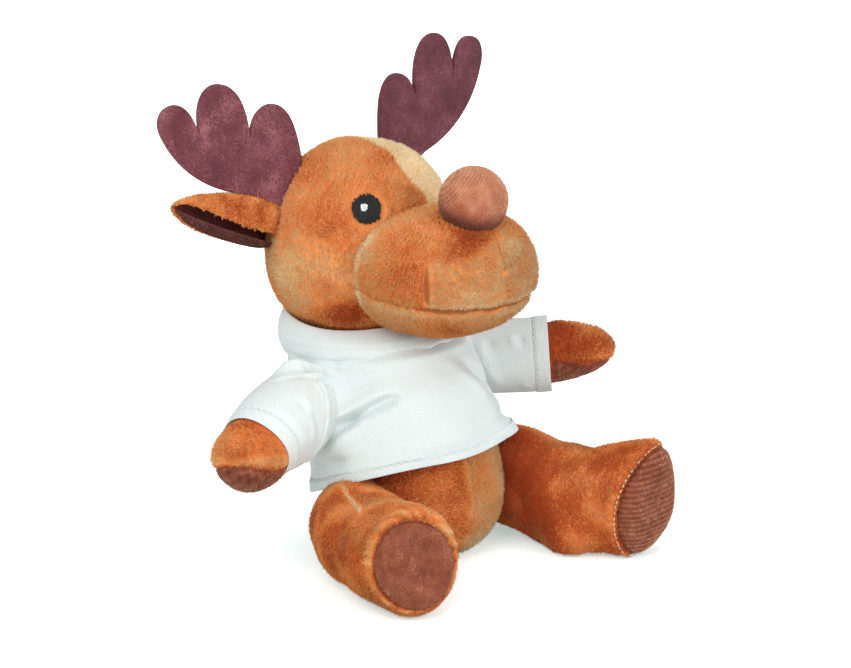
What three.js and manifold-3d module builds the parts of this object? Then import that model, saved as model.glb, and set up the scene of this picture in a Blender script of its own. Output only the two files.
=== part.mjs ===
// A small seated plush deer in a white T-shirt, at its real size.
// Millimetres, +Z up. The deer faces -Y and its left side is +X.
// The origin is the middle of the flat that the body sits on.
import * as THREE from 'three';
import { mergeVertices } from 'three/addons/utils/BufferGeometryUtils.js';
import Module from 'manifold-3d';

const wasm = await Module();
wasm.setup();

// Driving dimensions.
const GAP = 0.3; // between pieces that touch
const PILE_FABRIC = 1.4; // short pile and its backing
const KNIT = 0.9; // T-shirt jersey
const FELT = 2; // antler felt
const FLAT_CUT = 0.5; // depth that the form gives where it rests

const HEAD_RADIUS = 32.2;
const HEAD_CENTRE = new THREE.Vector3(0, 32, 100.6);
const MUZZLE_HALF_WIDTH = 27;
const NOSE_RADIUS = 11.2;
const EYE_RADIUS = 4.6;
const ARM_RADIUS = 10.6; // at the shoulder
const SLEEVE_LENGTH = 38; // shoulder to cuff
const HIP_FACE = 22; // half the distance between the two flat hip faces
const FOOT_HALF_WIDTH = 18.3;
const FOOT_HALF_HEIGHT = 22;

const colours = {
  plush: 0xc87a3a,
  mauve: 0x8e5a4c,
  felt: 0x7d4852,
  jersey: 0xf1f5f3,
  black: 0x15171a,
  white: 0xf4f4f0,
  stuffing: 0xe9e6df,
};
const finish = {
  plush: { color: colours.plush, roughness: 0.95, metalness: 0 },
  mauve: { color: colours.mauve, roughness: 0.9, metalness: 0 },
  felt: { color: colours.felt, roughness: 1, metalness: 0 },
  jersey: { color: colours.jersey, roughness: 0.9, metalness: 0 },
  black: { color: colours.black, roughness: 0.6, metalness: 0 },
  white: { color: colours.white, roughness: 0.6, metalness: 0 },
  stuffing: { color: colours.stuffing, roughness: 1, metalness: 0 },
};

const X = new THREE.Vector3(1, 0, 0);
const Y = new THREE.Vector3(0, 1, 0);
const Z = new THREE.Vector3(0, 0, 1);
const at = (x, y, z) => new THREE.Vector3(x, y, z);

// A closed three.js geometry as a solid that can be cut and joined.
function solid(geometry) {
  const bare = geometry.clone();
  bare.deleteAttribute('normal');
  bare.deleteAttribute('uv');
  const merged = mergeVertices(bare, 1e-4);
  return new wasm.Manifold(new wasm.Mesh({
    numProp: 3,
    vertProperties: new Float32Array(merged.attributes.position.array),
    triVerts: new Uint32Array(merged.index.array),
  }));
}

// A solid as a three.js geometry, for its mesh.
function geometryOf(body) {
  const mesh = body.getMesh();
  const geometry = new THREE.BufferGeometry();
  geometry.setAttribute('position', new THREE.BufferAttribute(mesh.vertProperties, 3));
  geometry.setIndex(new THREE.BufferAttribute(mesh.triVerts, 1));
  geometry.computeVertexNormals();
  return geometry;
}

// A triangle list over rings of points. Each ring closes on itself, and the
// rings run from one pole to the other, or round to the first ring again.
function ringGeometry(rings, poles) {
  const around = rings[0].length;
  const points = rings.flat();
  const faces = [];
  const last = poles ? rings.length - 1 : rings.length;
  for (let i = 0; i < last; i += 1) {
    const low = i * around;
    const high = ((i + 1) % rings.length) * around;
    for (let j = 0; j < around; j += 1) {
      const k = (j + 1) % around;
      faces.push(low + j, low + k, high + k);
      faces.push(low + j, high + k, high + j);
    }
  }
  if (poles) {
    const first = points.push(poles[0]) - 1;
    const end = points.push(poles[1]) - 1;
    const top = (rings.length - 1) * around;
    for (let j = 0; j < around; j += 1) {
      const k = (j + 1) % around;
      faces.push(first, k, j);
      faces.push(end, top + j, top + k);
    }
  }
  const geometry = new THREE.BufferGeometry().setFromPoints(points);
  geometry.setIndex(faces);
  return geometry;
}

// Quadratic blend of three values, at the root, the middle and the tip.
const blend = ([a, b, c], t) => a * (1 - t) ** 2 + 2 * b * t * (1 - t) + c * t * t;

// A stuffed form that swells and tapers along a bowed centre line.
// side and up are its half-widths at root, middle and tip, ends are the
// powers that round off its root and tip, and 2 is an ellipse's end. A higher
// power is blunter. grow moves the whole skin outwards.
function swellForm({ spine, side, up, ends = [2, 2], square = 2, hint = Z }, around, along, grow = 0) {
  const line = new THREE.QuadraticBezierCurve3(...spine);
  const stretch = 1 + (2 * grow) / line.getLength();
  const pointAt = (t) => {
    const s = 0.5 + (t - 0.5) * stretch;
    const inside = THREE.MathUtils.clamp(s, 0, 1);
    return line.getPoint(inside).addScaledVector(line.getTangent(inside), (s - inside) * line.getLength());
  };
  const rings = [];
  for (let i = 1; i < along; i += 1) {
    const t = (1 - Math.cos((Math.PI * i) / along)) / 2;
    const power = t < 0.5 ? ends[0] : ends[1];
    const cap = (1 - Math.abs(2 * t - 1) ** power) ** (1 / power);
    const tangent = line.getTangent(t);
    const right = new THREE.Vector3().crossVectors(tangent, hint).normalize();
    const over = new THREE.Vector3().crossVectors(right, tangent);
    const ring = [];
    for (let j = 0; j < around; j += 1) {
      const angle = (2 * Math.PI * j) / around;
      const c = Math.cos(angle);
      const s = Math.sin(angle);
      const wide = Math.sign(c) * Math.abs(c) ** (2 / square) * (blend(side, t) + grow) * cap;
      const high = Math.sign(s) * Math.abs(s) ** (2 / square) * (blend(up, t) + grow) * cap;
      ring.push(pointAt(t).addScaledVector(right, wide).addScaledVector(over, -high));
    }
    rings.push(ring);
  }
  return solid(ringGeometry(rings, [pointAt(0), pointAt(1)]));
}

// A tube with a wall, between an outer and an inner surface. Each surface
// is a function of the share along the tube and the angle round it.
function wallTube(outer, inner, around, along) {
  const rings = [];
  const ringOf = (surface, share) =>
    Array.from({ length: around }, (_, j) => surface(share, (2 * Math.PI * j) / around));
  for (let i = 0; i <= along; i += 1) rings.push(ringOf(outer, i / along));
  for (let i = along; i >= 0; i -= 1) rings.push(ringOf(inner, i / along));
  return solid(ringGeometry(rings));
}

function ball(centre, radius, around = 24, high = 14) {
  const geometry = new THREE.SphereGeometry(radius, around, high);
  geometry.rotateX(Math.PI / 2);
  geometry.translate(centre.x, centre.y, centre.z);
  return solid(geometry);
}

// A rod of oval section along a direction, from a start point.
function ovalRod(start, direction, length, halfWide, halfHigh, around = 28) {
  const geometry = new THREE.CylinderGeometry(1, 1, length, around);
  geometry.scale(halfWide, 1, halfHigh);
  geometry.translate(0, length / 2, 0);
  const hint = Math.abs(direction.z) > 0.9 ? Y : Z;
  const right = new THREE.Vector3().crossVectors(direction, hint).normalize();
  const over = new THREE.Vector3().crossVectors(right, direction);
  geometry.applyMatrix4(new THREE.Matrix4().makeBasis(right, direction, over));
  geometry.translate(start.x, start.y, start.z);
  return solid(geometry);
}

// What is left of a solid on the side of a plane that its normal points to.
function keepBeyond(body, normal, point) {
  return body.trimByPlane([normal.x, normal.y, normal.z], normal.dot(point));
}

// A form whose centre line is swung about an axis through a pivot.
function swung(form, pivot, axis, degrees) {
  const turn = THREE.MathUtils.degToRad(degrees);
  const spine = form.spine.map((point) => point.clone().sub(pivot).applyAxisAngle(axis, turn).add(pivot));
  return { ...form, spine };
}

// Adds a piece under its name. Offcuts fall away and the main part stays.
const deer = new THREE.Group();
function addPiece(name, body, look) {
  const [main] = body.decompose().sort((a, b) => b.volume() - a.volume());
  const mesh = new THREE.Mesh(geometryOf(main), new THREE.MeshStandardMaterial(finish[look]));
  mesh.name = name;
  deer.add(mesh);
}

// Body: an egg that leans back, sitting on its own flattened underside.
const torsoForm = {
  spine: [at(0, -4, -2.5), at(0, 1, 34), at(0, 31, 74)],
  side: [30, 29.5, 23.5],
  up: [28, 27, 21.5],
  ends: [2.7, 2.6],
};
const NECK_SOCKET = HEAD_RADIUS + 5.2; // radius of the hollow that the head rolls in
const HIP = at(HIP_FACE, -4, 17);
const HIP_POCKET = 21.5;
const onSide = (point, side) => at(side * point.x, point.y, point.z);

// Each arm swings up and down in its own opening, sleeve and all. The left
// arm points forwards and outwards, the right one outwards and a little down.
const SHOULDER = at(28, 25, 52.5);
const ARMS = {
  l: {
    side: 1, aim: at(0.73, -0.67, 0.07), swing: [-15, 0, 15], sleeve: [12.4, 12.8, 12.8],
    length: 60, girth: [10, 11.4, 12], tipEnd: 2.4, palm: at(0, 0.1, -1), palmDrop: 0,
  },
  r: {
    side: -1, aim: at(-0.925, -0.34, -0.18), swing: [-4, 7, 18], sleeve: [12.6, 17.6, 14.8],
    length: 56, girth: [10, 12.9, 14.2], tipEnd: 3.2, palm: at(-0.21, -0.23, -0.95), palmDrop: 7,
  },
};
const OPENING_ROOM = 0.8; // round the sleeve
const largest = (radii) => Math.max(...radii.map((_, i) => blend(radii, i / 2)));
const openings = Object.values(ARMS).map(({ side, aim, swing, sleeve }) => {
  const shoulder = onSide(SHOULDER, side);
  const axis = new THREE.Vector3().crossVectors(aim, Z).normalize();
  const radius = largest(sleeve) + OPENING_ROOM;
  const swept = swing.map((turn) => {
    const turned = aim.clone().normalize().applyAxisAngle(axis, THREE.MathUtils.degToRad(turn));
    return ovalRod(shoulder, turned, SLEEVE_LENGTH, radius, radius, 16);
  });
  return wasm.Manifold.union([ball(shoulder, radius, 16, 10), ...swept]);
});

// Legs: stuffed tubes that bow inwards and end in a blunt foot. They meet the
// body at flat hip faces, and turn on an axis through both hips.
const legForm = (spine, up) => ({
  spine,
  side: [16.5, 18, FOOT_HALF_WIDTH],
  up,
  ends: [2.4, 4],
});
const LEGS = {
  l: legForm([at(30, 13, 19.5), at(39, -21, 12), at(46.5, -61.5, 21.5)], [20.5, 11, 24]),
  r: legForm([at(-30, 13, 18.5), at(-41, -20, 11), at(-51.5, -55, 21)], [19, 13, 22]),
};
const LEG_SWING = [-8, 0, 12, 25]; // degrees, a raised foot to a lowered one
const HEM_ROOM = 0.9;
const legRooms = Object.values(LEGS).flatMap((leg) => LEG_SWING
  .map((turn) => swellForm(swung(leg, HIP, X, turn), 16, 8, HEM_ROOM)));

// Openings that the head, arms and legs sit in.
const hipPocket = (side) =>
  ovalRod(onSide(HIP, side), at(side, 0, 0), HIP_FACE, HIP_POCKET, HIP_POCKET);
const neckSocket = ball(HEAD_CENTRE, NECK_SOCKET, 24, 14);
const bodyOpenings = wasm.Manifold.union([neckSocket, ...openings, hipPocket(1), hipPocket(-1)]);

const UNDERSIDE = PILE_FABRIC - FLAT_CUT;
const torsoCore = keepBeyond(swellForm(torsoForm, 16, 9, -PILE_FABRIC), Z, at(0, 0, UNDERSIDE));
const torsoSkin = keepBeyond(swellForm(torsoForm, 24, 11).subtract(torsoCore), Z, at(0, 0, 0));
addPiece('torso_skin', torsoSkin.subtract(bodyOpenings), 'plush');
const torsoFill = swellForm(torsoForm, 16, 9, -PILE_FABRIC - GAP);
const seatedFill = keepBeyond(torsoFill, Z, at(0, 0, UNDERSIDE + GAP));
addPiece('torso_stuffing', seatedFill.subtract(bodyOpenings), 'stuffing');

// Neck: a dished pad of stuffing that the head rolls on.
const NECK_PAD_RADIUS = 16;
const NECK_PAD_THICKNESS = 1.8;
const neckPad = ball(HEAD_CENTRE, NECK_SOCKET - GAP, 24, 14)
  .subtract(ball(HEAD_CENTRE, NECK_SOCKET - GAP - NECK_PAD_THICKNESS, 24, 14))
  .intersect(ovalRod(HEAD_CENTRE, at(0, 0, -1), NECK_SOCKET, NECK_PAD_RADIUS, NECK_PAD_RADIUS, 16));
addPiece('neck_stuffing', neckPad, 'stuffing');

// Head: a ball that is fuller below, with a broad snout that grows out of it.
const headForm = {
  spine: [at(0, 32, 67.4), at(0, 32, 100), at(0, 32, 134)],
  side: [HEAD_RADIUS, HEAD_RADIUS, HEAD_RADIUS],
  up: [HEAD_RADIUS, HEAD_RADIUS, HEAD_RADIUS],
  ends: [2.5, 2.05],
  hint: Y,
};
const muzzleForm = {
  spine: [at(0, 26, 93), at(0, -4, 96.5), at(0, -39.5, 104)],
  side: [24, MUZZLE_HALF_WIDTH + 2, 26],
  up: [18, 24.5, 20.5],
  ends: [2.2, 2.9],
  square: 2.25,
};
const headAt = (grow) => swellForm(headForm, 26, 12, grow);
const headCoreAt = (grow) => swellForm(headForm, 16, 8, grow);
const muzzleAt = (grow) => swellForm(muzzleForm, 22, 11, grow);
const muzzleCoreAt = (grow) => swellForm(muzzleForm, 14, 8, grow);
const headRoom = headAt(GAP);
const muzzleRoom = muzzleAt(GAP);
const headSkin = headAt(0).subtract(headCoreAt(-PILE_FABRIC)).subtract(muzzleRoom);
const muzzleSkin = muzzleAt(0).subtract(muzzleCoreAt(-PILE_FABRIC)).subtract(headAt(0));
const headFill = headCoreAt(-PILE_FABRIC - GAP).add(muzzleCoreAt(-PILE_FABRIC - GAP));

// The ears turn in dished slits in the side seams.
const EAR_ROOT = at(28, 43, 108);
const EAR_DISH = 9.6;
const earDishes = [1, -1].map((side) => ball(onSide(EAR_ROOT, side), EAR_DISH + GAP, 16, 10));
const earRoom = wasm.Manifold.union(earDishes);
const GUSSET_HALF_WIDTH = 9;
const SEAM = GAP / 2;
const headPanels = headSkin.subtract(earRoom);
addPiece('head_side_l', keepBeyond(headPanels, X, at(GUSSET_HALF_WIDTH + SEAM, 0, 0)), 'plush');
addPiece('head_side_r', keepBeyond(headPanels, at(-1, 0, 0), at(-GUSSET_HALF_WIDTH - SEAM, 0, 0)), 'plush');
const gusset = keepBeyond(headPanels, at(-1, 0, 0), at(GUSSET_HALF_WIDTH - SEAM, 0, 0));
addPiece('head_gusset', keepBeyond(gusset, X, at(-GUSSET_HALF_WIDTH + SEAM, 0, 0)), 'plush');
addPiece('head_stuffing', headFill.subtract(earRoom), 'stuffing');

// Snout: two upper panels that meet in front, and a chin below the mouth.
const MOUTH_HEIGHT = 92.5;
const upperLip = keepBeyond(muzzleSkin, Z, at(0, 0, MOUTH_HEIGHT + SEAM));
addPiece('muzzle_side_l', keepBeyond(upperLip, X, at(SEAM, 0, 0)), 'plush');
addPiece('muzzle_side_r', keepBeyond(upperLip, at(-1, 0, 0), at(-SEAM, 0, 0)), 'plush');
addPiece('muzzle_chin', keepBeyond(muzzleSkin, at(0, 0, -1), at(0, 0, MOUTH_HEIGHT - SEAM)), 'plush');

// Nose: a stuffed ball sewn to the top of the snout.
const NOSE_CENTRE = at(0, -23, 125);
const NOSE_FABRIC = 1.1;
const noseCover = ball(NOSE_CENTRE, NOSE_RADIUS, 20, 12)
  .subtract(ball(NOSE_CENTRE, NOSE_RADIUS - NOSE_FABRIC, 12, 8));
addPiece('nose_cover', noseCover.subtract(muzzleRoom), 'mauve');
const noseFill = ball(NOSE_CENTRE, NOSE_RADIUS - NOSE_FABRIC - GAP, 12, 8);
addPiece('nose_stuffing', noseFill.subtract(muzzleRoom), 'stuffing');

// Eyes: satin-stitched discs that follow the head, each with a small glint.
// The left one sits a little lower and further round.
const EYES = { l: at(20.5, -20.6, 13.9).normalize(), r: at(-16.9, -21.9, 18).normalize() };
const THREAD = 0.8;
const GLINT_RADIUS = 1.35;
const GLINT_THREAD = 0.6;
const GLINT_SHIFT = at(-1.2, 0, 1.1);
for (const [tag, look] of Object.entries(EYES)) {
  const reach = 2 * HEAD_RADIUS;
  const rod = ovalRod(HEAD_CENTRE, look, reach, EYE_RADIUS, EYE_RADIUS, 16);
  addPiece(`eye_${tag}`, rod.intersect(headAt(GAP + THREAD).subtract(headRoom)), 'black');
  const glint = ovalRod(HEAD_CENTRE.clone().add(GLINT_SHIFT), look, reach, GLINT_RADIUS, GLINT_RADIUS, 8);
  const glintFloor = GAP * 2 + THREAD;
  const glintLayer = headAt(glintFloor + GLINT_THREAD).subtract(headAt(glintFloor));
  addPiece(`eye_glint_${tag}`, glint.intersect(glintLayer), 'white');
}

// Antlers: flat felt with three round fingers. The outline is in a plane that
// leans back and sweeps back outwards; x runs outwards and y runs up.
const antlerShape = new THREE.Shape();
antlerShape.moveTo(-1, -4);
antlerShape.bezierCurveTo(-0.6, 2, 0, 8, 1.6, 12.5);
antlerShape.bezierCurveTo(4.5, 20, 10.5, 21, 15, 16.5);
antlerShape.bezierCurveTo(16.6, 14.6, 17.6, 12, 18, 9.2);
antlerShape.bezierCurveTo(17.8, 22, 22.5, 29, 29.5, 28.8);
antlerShape.bezierCurveTo(35.5, 28, 38, 21, 36.6, 11.8);
antlerShape.bezierCurveTo(38.5, 21, 42, 25, 46.5, 24.4);
antlerShape.bezierCurveTo(51.8, 23.5, 53, 18.5, 50.5, 13.5);
antlerShape.bezierCurveTo(46, 3, 36, -6, 20, -9.5);
antlerShape.lineTo(6, -16);
const ANTLER_BASE = at(18.1, 42.2, 129.1);
const ANTLER_SWEEP = { l: 0.08, r: 0.16 };
const ANTLER_LEAN = 0.14;
for (const [side, tag] of [[1, 'l'], [-1, 'r']]) {
  const felt = new THREE.ExtrudeGeometry(antlerShape, { depth: FELT, bevelEnabled: false, curveSegments: 6 });
  felt.translate(0, 0, -FELT / 2);
  const out = at(side, ANTLER_SWEEP[tag], 0);
  const rise = at(0, ANTLER_LEAN, 1);
  const through = new THREE.Vector3().crossVectors(out, rise).normalize();
  felt.applyMatrix4(new THREE.Matrix4().makeBasis(out, rise, through));
  const base = onSide(ANTLER_BASE, side);
  felt.translate(base.x, base.y, base.z);
  addPiece(`antler_${tag}`, solid(felt).subtract(headRoom), 'felt');
}

// Ears: a leaf of plush folded along its back edge, open in front, with a
// ribbed lining inside. The root end sits in the slit's dish.
const EAR_FABRIC = 1.3;
const EAR_LINING = 0.8;
const EAR_OPENING = 2.5; // how far the hollow comes forwards out of the leaf
const EAR_DROP = 0.8;
const EAR_TIP = { l: at(62, 47, 85), r: at(-72.5, 42.5, 120.5) }; // the left ear droops
for (const [side, tag] of [[1, 'l'], [-1, 'r']]) {
  const root = onSide(EAR_ROOT, side);
  const tip = EAR_TIP[tag];
  const bow = root.clone().lerp(tip, 0.5).add(at(0, 0, -1.5));
  const leafForm = { spine: [root, bow, tip], side: [8, 10, 3], up: [9, 10, 3.5], ends: [2.4, 2.2] };
  const leaf = (grow) => swellForm(leafForm, 10, 7, grow);
  const forward = (body, steps) => body.translate([0, -EAR_OPENING * steps, -EAR_DROP * steps]);
  const hollow = forward(leaf(-EAR_FABRIC), 1);
  const outer = leaf(0).subtract(hollow);
  const lining = forward(leaf(-EAR_FABRIC - GAP), 1).intersect(leaf(-GAP))
    .subtract(forward(leaf(-EAR_FABRIC - GAP - EAR_LINING), 1.6));
  addPiece(`ear_outer_${tag}`, outer.subtract(headRoom), 'plush');
  addPiece(`ear_lining_${tag}`, lining.subtract(headRoom), 'mauve');
}

// Arms: stuffed tubes with a ball root in the shoulder opening. The palm is
// the lower half of the hand, past the cuff. A sleeve goes round each arm.
const CUFF_TO_PALM = 2;
for (const [tag, arm] of Object.entries(ARMS)) {
  const shoulder = onSide(SHOULDER, arm.side);
  const aim = arm.aim.clone().normalize();
  const along = (length) => shoulder.clone().addScaledVector(aim, length);
  const armForm = {
    spine: [along(-ARM_RADIUS), along(arm.length * 0.42), along(arm.length)],
    side: arm.girth,
    up: arm.girth,
    ends: [2, arm.tipEnd],
  };
  const skin = swellForm(armForm, 16, 10).subtract(swellForm(armForm, 12, 7, -PILE_FABRIC));
  const palmSide = arm.palm.clone().normalize();
  const palmEdge = along(SLEEVE_LENGTH).addScaledVector(palmSide, arm.palmDrop);
  const palmRoom = (room) => keepBeyond(
    keepBeyond(ball(along(arm.length), arm.length, 12, 8), aim, along(SLEEVE_LENGTH + CUFF_TO_PALM - room)),
    palmSide, palmEdge.clone().addScaledVector(palmSide, -room));
  addPiece(`palm_${tag}`, skin.intersect(palmRoom(0)), 'mauve');
  addPiece(`arm_skin_${tag}`, keepBeyond(skin, aim, along(0)).subtract(palmRoom(GAP)), 'plush');
  addPiece(`arm_stuffing_${tag}`, swellForm(armForm, 12, 7, -PILE_FABRIC - GAP), 'stuffing');

  const right = new THREE.Vector3().crossVectors(aim, Z).normalize();
  const over = new THREE.Vector3().crossVectors(right, aim);
  const sleeveSurface = (thickness) => (share, angle) => {
    const fold = 0.35 * Math.sin(3 * angle + 5 * share) * share;
    const radius = blend(arm.sleeve, share) + fold - KNIT + thickness;
    return along(share * SLEEVE_LENGTH)
      .addScaledVector(right, radius * Math.cos(angle)).addScaledVector(over, -radius * Math.sin(angle));
  };
  addPiece(`sleeve_${tag}`, wallTube(sleeveSurface(KNIT), sleeveSurface(0), 18, 5), 'jersey');
}

// T-shirt: a loose tube with a flared hem, in a front and a back panel.
// share runs from the hem to the neck seam, and angle starts at the left.
const SHIRT_LINE = new THREE.QuadraticBezierCurve3(at(0, 3, 29), at(0, 10, 49), at(0, 24, 65.5));
const HEM_TILT = 20; // degrees that the front of the hem stands up
const NECK_TILT = 8;
const shirtSurface = (thickness) => (share, angle) => {
  const tilt = THREE.MathUtils.degToRad(HEM_TILT + (NECK_TILT - HEM_TILT) * share);
  const front = Math.max(0, -Math.sin(angle));
  const wave = 0.9 * Math.cos(7 * angle + 0.6) * (1 - share) ** 2;
  const pull = 0.8 * Math.sin(4 * angle + 9 * share) * 4 * share * (1 - share) * front;
  const halfWidth = blend([33.5, 30, 28], share) + wave + pull + thickness;
  const halfDepth = blend([32, 27.5, 28], share) + wave + pull + thickness;
  const round = halfDepth * Math.sin(angle);
  return SHIRT_LINE.getPoint(share)
    .add(at(halfWidth * Math.cos(angle), round * Math.cos(tilt), -round * Math.sin(tilt)));
};
const shirtTube = wallTube(shirtSurface(KNIT), shirtSurface(0), 36, 7)
  .subtract(wasm.Manifold.union([neckSocket, ...openings, ...legRooms]));
const SIDE_SEAM = at(0, 13, 45);
const forwards = at(0, -0.88, 0.47).normalize();
const backwards = forwards.clone().negate();
const seamShift = forwards.clone().multiplyScalar(SEAM);
addPiece('shirt_front', keepBeyond(shirtTube, forwards, SIDE_SEAM.clone().add(seamShift)), 'jersey');
addPiece('shirt_back', keepBeyond(shirtTube, backwards, SIDE_SEAM.clone().sub(seamShift)), 'jersey');

// Neckband: the jersey folded double, standing up round the neck.
const BAND_THICKNESS = 2;
const bandLow = { centre: at(0, 26, 65.4), halfWidth: 29, halfDepth: 29.4, tilt: 9 };
const bandHigh = { centre: at(0, 31.5, 75.6), halfWidth: 29.2, halfDepth: 26.6, tilt: 0 };
function bandRim({ centre, halfWidth, halfDepth, tilt }, angle) {
  const lean = THREE.MathUtils.degToRad(tilt);
  const round = halfDepth * Math.sin(angle);
  return centre.clone().add(at(halfWidth * Math.cos(angle), round * Math.cos(lean), -round * Math.sin(lean)));
}
const BAND_SECTIONS = 36;
const BAND_POINTS = 8;
const bandRings = Array.from({ length: BAND_SECTIONS }, (_, i) => {
  const angle = (2 * Math.PI * i) / BAND_SECTIONS;
  const low = bandRim(bandLow, angle);
  const high = bandRim(bandHigh, angle);
  const middle = low.clone().lerp(high, 0.5);
  const rise = high.clone().sub(low).multiplyScalar(0.5);
  const outwards = at(Math.cos(angle), Math.sin(angle), 0.1).normalize();
  return Array.from({ length: BAND_POINTS }, (__, j) => {
    const turn = (2 * Math.PI * j) / BAND_POINTS;
    const height = Math.sign(Math.cos(turn)) * Math.abs(Math.cos(turn)) ** 0.6;
    const bulge = 0.8 * (1 - height * height);
    return middle.clone().addScaledVector(rise, height)
      .addScaledVector(outwards, (BAND_THICKNESS / 2) * Math.sin(turn) + bulge);
  });
});
const HEAD_TURN = [-35, -18, 0, 18, 35]; // degrees that the snout sweeps over the band
const chinRooms = HEAD_TURN.map((turn) => swellForm(swung(muzzleForm, HEAD_CENTRE, Z, turn), 22, 11, GAP));
const ROLL_ROOM = 4; // round the head, so that its fuller underside clears the band
const headRoll = ball(HEAD_CENTRE, HEAD_RADIUS + ROLL_ROOM, 24, 14);
const band = solid(ringGeometry(bandRings)).subtract(wasm.Manifold.union([headRoll, ...chinRooms]));
addPiece('neckband', band.subtract(wasm.Manifold.union([shirtTube, ...openings])), 'jersey');

// The legs' skins, each with its sole: the oval of its blunt front.
const SOLE_INSET = 4;
const SOLE_REACH = 6; // half the depth of the cut that parts the sole from the leg
for (const [side, tag] of [[1, 'l'], [-1, 'r']]) {
  const leg = LEGS[tag];
  const [, knee, sole] = leg.spine;
  const aim = sole.clone().sub(knee).normalize();
  const hipEdge = at(side * (HIP_FACE + GAP), 0, 0);
  const trimmed = (body) => keepBeyond(keepBeyond(body, at(side, 0, 0), hipEdge), Z, at(0, 0, 0));
  const skin = trimmed(swellForm(leg, 18, 12).subtract(swellForm(leg, 12, 8, -PILE_FABRIC)));
  const soleStart = sole.clone().addScaledVector(aim, -SOLE_REACH);
  const oval = (inset) => ovalRod(soleStart, aim, 2 * SOLE_REACH,
    FOOT_HALF_WIDTH - SOLE_INSET - inset, FOOT_HALF_HEIGHT - SOLE_INSET - inset);
  addPiece(`leg_skin_${tag}`, skin.subtract(oval(0)), 'plush');
  addPiece(`sole_${tag}`, skin.intersect(oval(GAP)), 'mauve');
  addPiece(`leg_stuffing_${tag}`, trimmed(swellForm(leg, 12, 8, -PILE_FABRIC - GAP)), 'stuffing');
}

export default deer;
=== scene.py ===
import bmesh
import bpy
import numpy as np
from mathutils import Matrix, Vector


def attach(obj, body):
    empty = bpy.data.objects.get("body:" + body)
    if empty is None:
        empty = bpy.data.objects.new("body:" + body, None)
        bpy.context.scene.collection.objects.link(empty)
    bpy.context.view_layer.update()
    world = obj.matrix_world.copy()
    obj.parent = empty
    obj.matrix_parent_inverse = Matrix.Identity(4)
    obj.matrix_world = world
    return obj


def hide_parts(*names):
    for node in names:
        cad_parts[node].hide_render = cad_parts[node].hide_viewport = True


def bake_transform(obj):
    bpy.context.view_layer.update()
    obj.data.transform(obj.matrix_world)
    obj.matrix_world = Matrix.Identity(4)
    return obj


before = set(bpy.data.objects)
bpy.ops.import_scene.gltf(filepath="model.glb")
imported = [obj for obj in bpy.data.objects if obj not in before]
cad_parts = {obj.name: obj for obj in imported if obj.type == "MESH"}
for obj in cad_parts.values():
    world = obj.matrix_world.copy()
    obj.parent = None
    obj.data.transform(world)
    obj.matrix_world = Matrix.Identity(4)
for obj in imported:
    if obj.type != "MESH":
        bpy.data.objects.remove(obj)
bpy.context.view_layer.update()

# The studio: a seamless pale sheet under the toy, a broad soft light high on the
# left, a weaker one on the right and a pale room. The camera is far off, a little
# above the toy and in front of its right shoulder.
MM = 0.001
scene = bpy.context.scene
scene.view_settings.view_transform = "Standard"
AZIMUTH, ELEVATION = np.radians(-42.5), np.radians(18.0)
AIM = np.array([0.0, 0.1, 73.75]) * MM
FAR = 2.5
SENSOR, PHOTO_WIDTH, PIXELS_PER_METRE = 36.0, 851, 3030
BACK = np.array([
    np.sin(AZIMUTH) * np.cos(ELEVATION), -np.cos(AZIMUTH) * np.cos(ELEVATION), np.sin(ELEVATION),
])
RIGHT = np.array([np.cos(AZIMUTH), np.sin(AZIMUTH), 0.0])


def point_at(thing, place, target):
    """Stands a lamp or camera at a place, looking at a target."""
    thing.location = place
    thing.rotation_euler = Vector(np.subtract(target, place)).to_track_quat("-Z", "Y").to_euler()
    scene.collection.objects.link(thing)


camera = bpy.data.objects.new("camera", bpy.data.cameras.new("camera"))
camera.data.sensor_width = SENSOR
camera.data.lens = SENSOR * PIXELS_PER_METRE * FAR / PHOTO_WIDTH
camera.data.clip_start, camera.data.clip_end = 0.05, 50
point_at(camera, AIM + BACK * FAR, AIM)
scene.camera = camera

LAMP_SIZE = 1.0
TO_CAMERA = np.array([BACK[0], BACK[1], 0.0]) / np.hypot(BACK[0], BACK[1])
for name, aside, ahead, high, power in (
    ("key", -0.5, 0.95, 0.85, 9.0),
    ("fill", 0.85, 0.9, 0.5, 8.0),
    ("top", 0.1, -0.35, 1.3, 5.0),
):
    lamp = bpy.data.objects.new(name, bpy.data.lights.new(name, "AREA"))
    lamp.data.shape, lamp.data.size, lamp.data.energy = "DISK", LAMP_SIZE, power
    point_at(lamp, AIM + RIGHT * aside + TO_CAMERA * ahead + (0, 0, high), AIM)

world = bpy.data.worlds.new("room")
scene.world = world
world.use_nodes = True
background = world.node_tree.nodes["Background"].inputs
background["Color"].default_value = (0.95, 0.98, 1.0, 1)
background["Strength"].default_value = 0.55


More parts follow.
